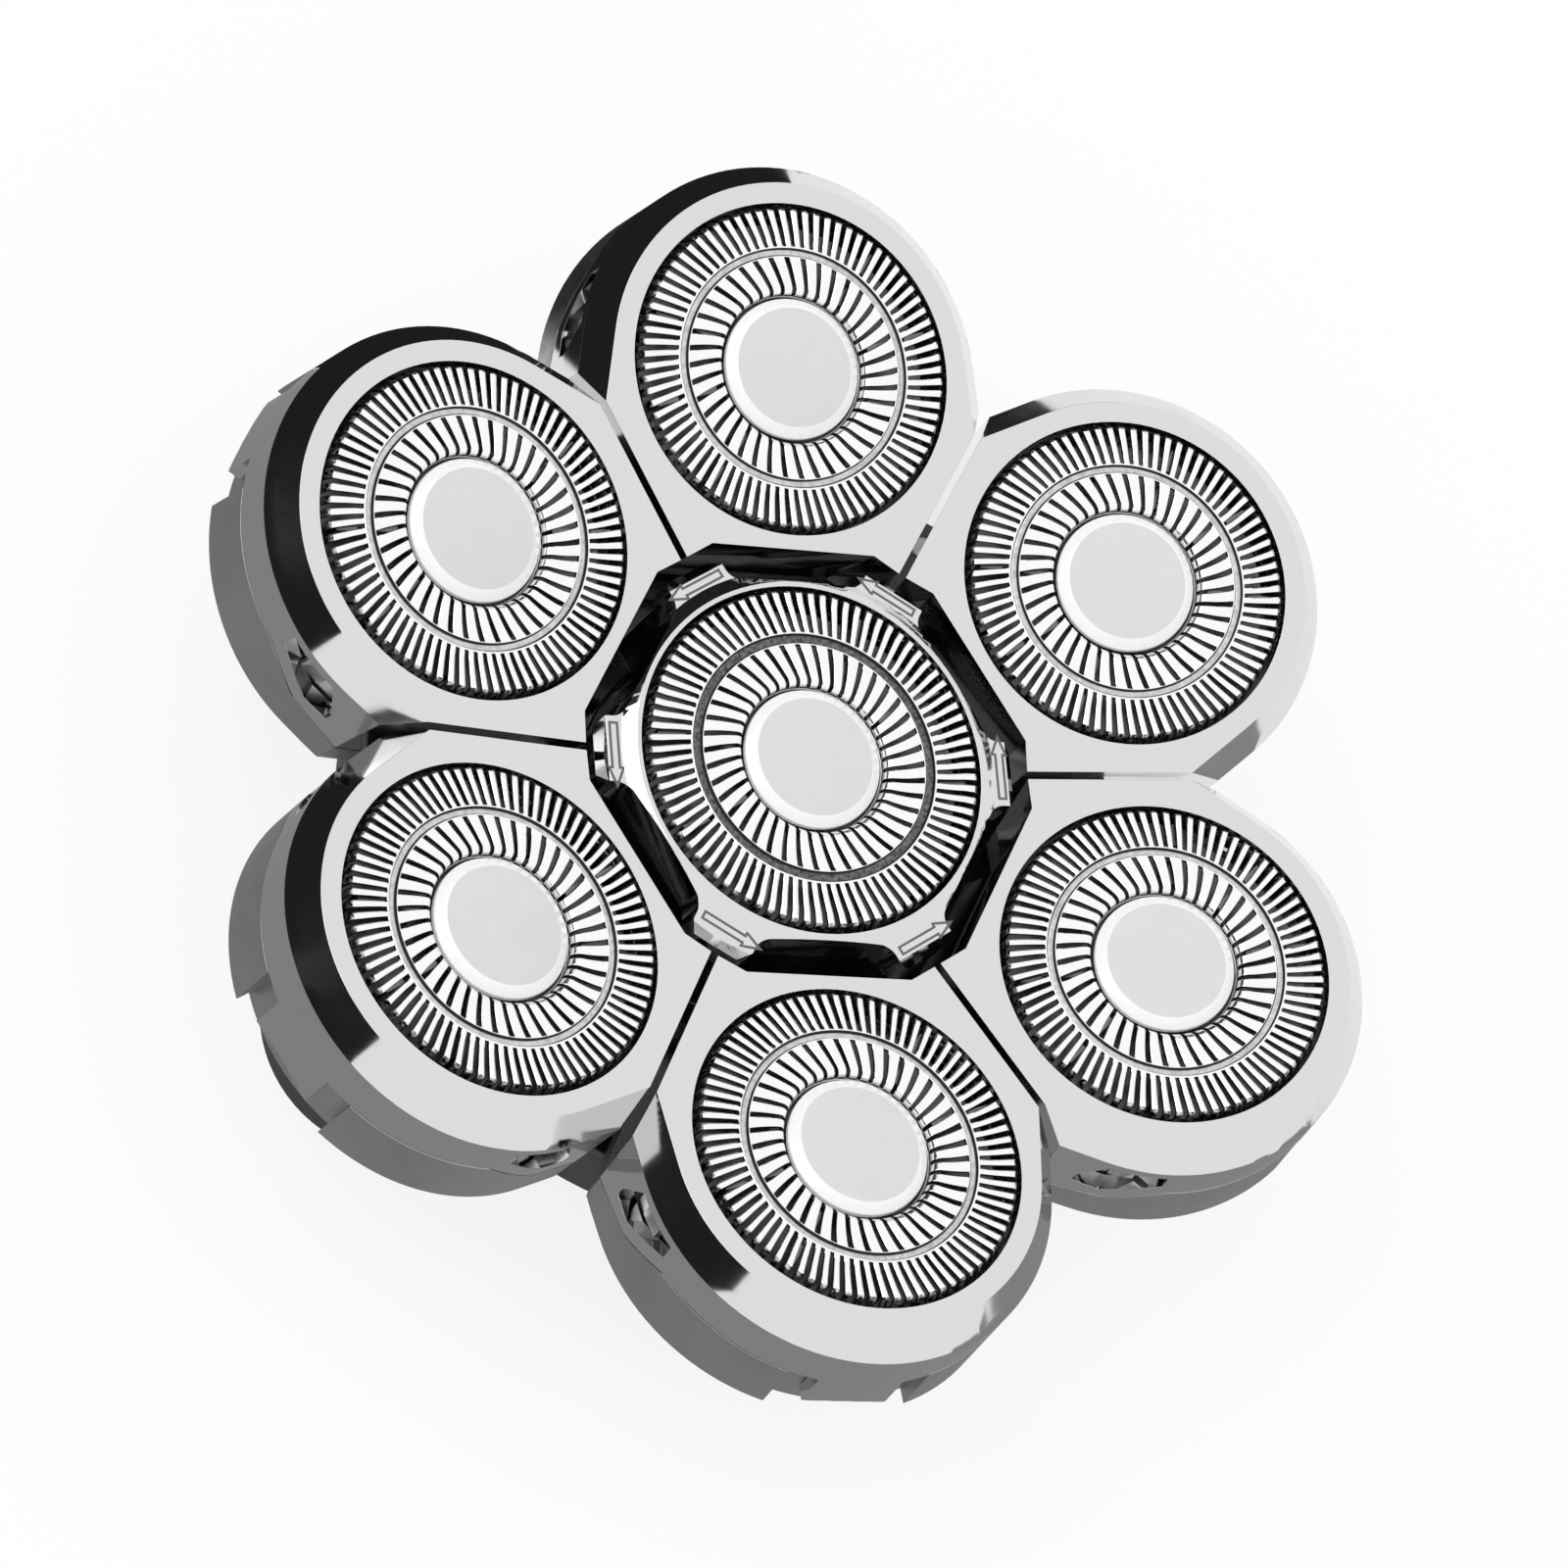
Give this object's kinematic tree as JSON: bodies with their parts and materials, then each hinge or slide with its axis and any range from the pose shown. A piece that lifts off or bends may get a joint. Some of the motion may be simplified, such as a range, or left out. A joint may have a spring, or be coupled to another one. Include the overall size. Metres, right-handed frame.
{
  "type": "rotary shaver head",
  "caption": "Replacement shaver head: a ring of tilting rotary cutters round a fixed centre cutter, on a black gearbox with a plug-in collar.",
  "frame": {"origin": "middle of the collar's lower rim, on the head's axis", "axes": "+Z along the head's axis, out of the cutting faces; +X towards pod 1"},
  "size_m": [0.0824, 0.0756, 0.0256],
  "materials": {
    "cap_chrome": "bright plated",
    "shell_satin": "satin",
    "foil_steel": "polished",
    "badge_steel": "satin",
    "cutter_steel": "ground",
    "drive_plastic": "moulded",
    "spring_steel": "drawn wire",
    "base_black": "gloss",
    "screw_steel": "zinc plated",
    "seal_rubber": "matte"
  },
  "bodies": {
    "base": {"gear_housing": "base_black", "gear_cover": "base_black", "cover_screws": "screw_steel", "collar_seal": "seal_rubber"},
    "drive": {"sun_gear": "drive_plastic", "drive_coupling": "drive_plastic", "centre_spindle": "drive_plastic", "centre_spring": "spring_steel", "centre_cutter": "cutter_steel"},
    "centre_head": {"centre_cap": "cap_chrome", "centre_foil": "foil_steel", "centre_badge": "badge_steel"},
    "pod_1": {"cap_1": "cap_chrome", "shell_1": "shell_satin", "foil_1": "foil_steel", "badge_1": "badge_steel"},
    "rotor_1": {"cutter_1": "cutter_steel"},
    "gear_1": {"pinion_1": "drive_plastic"},
    "plunger_1": {"spindle_1": "drive_plastic", "spring_1": "spring_steel"},
    "pod_2": {"cap_2": "cap_chrome", "shell_2": "shell_satin", "foil_2": "foil_steel", "badge_2": "badge_steel"},
    "rotor_2": {"cutter_2": "cutter_steel"},
    "gear_2": {"pinion_2": "drive_plastic"},
    "plunger_2": {"spindle_2": "drive_plastic", "spring_2": "spring_steel"},
    "pod_3": {"cap_3": "cap_chrome", "shell_3": "shell_satin", "foil_3": "foil_steel", "badge_3": "badge_steel"},
    "rotor_3": {"cutter_3": "cutter_steel"},
    "gear_3": {"pinion_3": "drive_plastic"},
    "plunger_3": {"spindle_3": "drive_plastic", "spring_3": "spring_steel"},
    "pod_4": {"cap_4": "cap_chrome", "shell_4": "shell_satin", "foil_4": "foil_steel", "badge_4": "badge_steel"},
    "rotor_4": {"cutter_4": "cutter_steel"},
    "gear_4": {"pinion_4": "drive_plastic"},
    "plunger_4": {"spindle_4": "drive_plastic", "spring_4": "spring_steel"},
    "pod_5": {"cap_5": "cap_chrome", "shell_5": "shell_satin", "foil_5": "foil_steel", "badge_5": "badge_steel"},
    "rotor_5": {"cutter_5": "cutter_steel"},
    "gear_5": {"pinion_5": "drive_plastic"},
    "plunger_5": {"spindle_5": "drive_plastic", "spring_5": "spring_steel"},
    "pod_6": {"cap_6": "cap_chrome", "shell_6": "shell_satin", "foil_6": "foil_steel", "badge_6": "badge_steel"},
    "rotor_6": {"cutter_6": "cutter_steel"},
    "gear_6": {"pinion_6": "drive_plastic"},
    "plunger_6": {"spindle_6": "drive_plastic", "spring_6": "spring_steel"}
  },
  "joints": [
    {"name": "sun_spin", "type": "hinge", "parent": "base", "child": "drive", "pos_m": [0, 0, 0.0074], "axis": [0, 0, 1], "continuous": true},
    {"name": "centre_twist", "type": "hinge", "parent": "base", "child": "centre_head", "pos_m": [0, 0, 0.0182], "axis": [0, 0, 1], "range_deg": [0, 5]},
    {"name": "pod_tilt_1", "type": "hinge", "parent": "base", "child": "pod_1", "pos_m": [0.01891, 0, 0.01298], "axis": [0, 1, 0], "range_deg": [0, 3.5], "stiffness_Nm_per_rad": 0.2, "springref_deg": -1.72},
    {"name": "cutter_spin_1", "type": "hinge", "parent": "pod_1", "child": "rotor_1", "pos_m": [0.02683, 0, 0.0197], "axis": [-0.1788, 0, 0.9839], "continuous": true},
    {"name": "gear_spin_1", "type": "hinge", "parent": "base", "child": "gear_1", "pos_m": [0.027, 0, 0.0074], "axis": [0, 0, 1], "continuous": true},
    {"name": "spindle_slide_1", "type": "slide", "parent": "gear_1", "child": "plunger_1", "axis": [0, 0, 1], "range_m": [-0.0006, 0], "deforming": ["spring_1"]},
    {"name": "pod_tilt_2", "type": "hinge", "parent": "base", "child": "pod_2", "pos_m": [0.00945, 0.01637, 0.01298], "axis": [-0.866, 0.5, 0], "range_deg": [0, 3.5], "stiffness_Nm_per_rad": 0.2, "springref_deg": -1.72},
    {"name": "cutter_spin_2", "type": "hinge", "parent": "pod_2", "child": "rotor_2", "pos_m": [0.01342, 0.02324, 0.0197], "axis": [-0.0894, -0.1548, 0.9839], "continuous": true},
    {"name": "gear_spin_2", "type": "hinge", "parent": "base", "child": "gear_2", "pos_m": [0.0135, 0.02338, 0.0074], "axis": [0, 0, 1], "continuous": true},
    {"name": "spindle_slide_2", "type": "slide", "parent": "gear_2", "child": "plunger_2", "axis": [0, 0, 1], "range_m": [-0.0006, 0], "deforming": ["spring_2"]},
    {"name": "pod_tilt_3", "type": "hinge", "parent": "base", "child": "pod_3", "pos_m": [-0.00945, 0.01637, 0.01298], "axis": [-0.866, -0.5, 0], "range_deg": [0, 3.5], "stiffness_Nm_per_rad": 0.2, "springref_deg": -1.72},
    {"name": "cutter_spin_3", "type": "hinge", "parent": "pod_3", "child": "rotor_3", "pos_m": [-0.01342, 0.02324, 0.0197], "axis": [0.0894, -0.1548, 0.9839], "continuous": true},
    {"name": "gear_spin_3", "type": "hinge", "parent": "base", "child": "gear_3", "pos_m": [-0.0135, 0.02338, 0.0074], "axis": [0, 0, 1], "continuous": true},
    {"name": "spindle_slide_3", "type": "slide", "parent": "gear_3", "child": "plunger_3", "axis": [0, 0, 1], "range_m": [-0.0006, 0], "deforming": ["spring_3"]},
    {"name": "pod_tilt_4", "type": "hinge", "parent": "base", "child": "pod_4", "pos_m": [-0.01891, 0, 0.01298], "axis": [0, -1, 0], "range_deg": [0, 3.5], "stiffness_Nm_per_rad": 0.2, "springref_deg": -1.72},
    {"name": "cutter_spin_4", "type": "hinge", "parent": "pod_4", "child": "rotor_4", "pos_m": [-0.02683, 0, 0.0197], "axis": [0.1788, 0, 0.9839], "continuous": true},
    {"name": "gear_spin_4", "type": "hinge", "parent": "base", "child": "gear_4", "pos_m": [-0.027, 0, 0.0074], "axis": [0, 0, 1], "continuous": true},
    {"name": "spindle_slide_4", "type": "slide", "parent": "gear_4", "child": "plunger_4", "axis": [0, 0, 1], "range_m": [-0.0006, 0], "deforming": ["spring_4"]},
    {"name": "pod_tilt_5", "type": "hinge", "parent": "base", "child": "pod_5", "pos_m": [-0.00945, -0.01637, 0.01298], "axis": [0.866, -0.5, 0], "range_deg": [0, 3.5], "stiffness_Nm_per_rad": 0.2, "springref_deg": -1.72},
    {"name": "cutter_spin_5", "type": "hinge", "parent": "pod_5", "child": "rotor_5", "pos_m": [-0.01342, -0.02324, 0.0197], "axis": [0.0894, 0.1548, 0.9839], "continuous": true},
    {"name": "gear_spin_5", "type": "hinge", "parent": "base", "child": "gear_5", "pos_m": [-0.0135, -0.02338, 0.0074], "axis": [0, 0, 1], "continuous": true},
    {"name": "spindle_slide_5", "type": "slide", "parent": "gear_5", "child": "plunger_5", "axis": [0, 0, 1], "range_m": [-0.0006, 0], "deforming": ["spring_5"]},
    {"name": "pod_tilt_6", "type": "hinge", "parent": "base", "child": "pod_6", "pos_m": [0.00945, -0.01637, 0.01298], "axis": [0.866, 0.5, 0], "range_deg": [0, 3.5], "stiffness_Nm_per_rad": 0.2, "springref_deg": -1.72},
    {"name": "cutter_spin_6", "type": "hinge", "parent": "pod_6", "child": "rotor_6", "pos_m": [0.01342, -0.02324, 0.0197], "axis": [-0.0894, 0.1548, 0.9839], "continuous": true},
    {"name": "gear_spin_6", "type": "hinge", "parent": "base", "child": "gear_6", "pos_m": [0.0135, -0.02338, 0.0074], "axis": [0, 0, 1], "continuous": true},
    {"name": "spindle_slide_6", "type": "slide", "parent": "gear_6", "child": "plunger_6", "axis": [0, 0, 1], "range_m": [-0.0006, 0], "deforming": ["spring_6"]}
  ],
  "couplings": [
    {"joint": "cutter_spin_1", "follows": "sun_spin", "ratio": -3.5},
    {"joint": "gear_spin_1", "follows": "sun_spin", "ratio": -3.5},
    {"joint": "spindle_slide_1", "follows": "pod_tilt_1", "m_per_rad": -0.0081},
    {"joint": "cutter_spin_2", "follows": "sun_spin", "ratio": -3.5},
    {"joint": "gear_spin_2", "follows": "sun_spin", "ratio": -3.5},
    {"joint": "spindle_slide_2", "follows": "pod_tilt_2", "m_per_rad": -0.0081},
    {"joint": "cutter_spin_3", "follows": "sun_spin", "ratio": -3.5},
    {"joint": "gear_spin_3", "follows": "sun_spin", "ratio": -3.5},
    {"joint": "spindle_slide_3", "follows": "pod_tilt_3", "m_per_rad": -0.0081},
    {"joint": "cutter_spin_4", "follows": "sun_spin", "ratio": -3.5},
    {"joint": "gear_spin_4", "follows": "sun_spin", "ratio": -3.5},
    {"joint": "spindle_slide_4", "follows": "pod_tilt_4", "m_per_rad": -0.0081},
    {"joint": "cutter_spin_5", "follows": "sun_spin", "ratio": -3.5},
    {"joint": "gear_spin_5", "follows": "sun_spin", "ratio": -3.5},
    {"joint": "spindle_slide_5", "follows": "pod_tilt_5", "m_per_rad": -0.0081},
    {"joint": "cutter_spin_6", "follows": "sun_spin", "ratio": -3.5},
    {"joint": "gear_spin_6", "follows": "sun_spin", "ratio": -3.5},
    {"joint": "spindle_slide_6", "follows": "pod_tilt_6", "m_per_rad": -0.0081}
  ]
}
